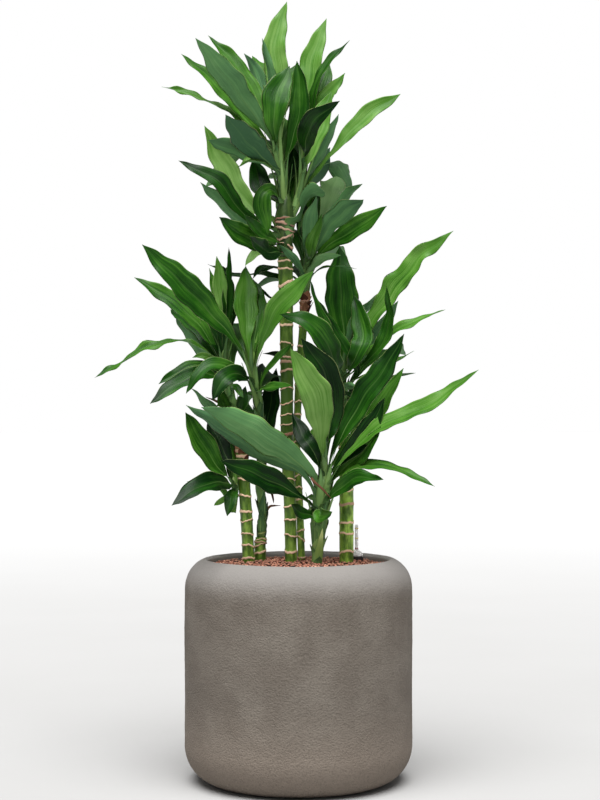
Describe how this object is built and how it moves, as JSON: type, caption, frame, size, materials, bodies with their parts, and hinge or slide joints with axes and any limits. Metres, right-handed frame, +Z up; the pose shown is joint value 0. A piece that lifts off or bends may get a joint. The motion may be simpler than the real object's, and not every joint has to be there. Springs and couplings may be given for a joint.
{
  "type": "potted dracaena",
  "caption": "Tall leafy dracaena with ringed canes of different heights, standing in a round cement planter filled with clay granules.",
  "frame": {"origin": "centre of the planter's flat underside, which rests on the floor", "axes": "+Z up along the planter's axis; -Y towards the front, the side with the low leafy stem; +X to the right seen from the front"},
  "size_m": [0.7131, 0.4605, 1.4873],
  "materials": {
    "planter": "matt grey-taupe cement with a fine rough skin",
    "granules": "matt red-brown expanded clay granules",
    "cane": "smooth green bark with raised tan leaf-scar rings",
    "leaf": "leathery glossy dark green with fine parallel ribs and a paler margin",
    "gauge_body": "dark satin plastic",
    "gauge_tube": "clear moulded plastic",
    "gauge_float": "glossy red plastic"
  },
  "bodies": {
    "root": {"planter": "planter", "clay_granules": "granules", "cane_front_left": "cane", "cane_rear_left": "cane", "cane_main": "cane", "cane_thin": "cane", "cane_right": "cane", "crown_main": "leaf", "leafy_stem_thin_cane": "leaf", "leafy_stem_rear_left": "leaf", "leafy_stem_front_left": "leaf", "side_sprout_front_left": "leaf", "leafy_stem_front": "leaf", "leafy_stem_right": "leaf", "gauge_body": "gauge_body", "gauge_tube": "gauge_tube", "gauge_float": "gauge_float"}
  },
  "joints": []
}
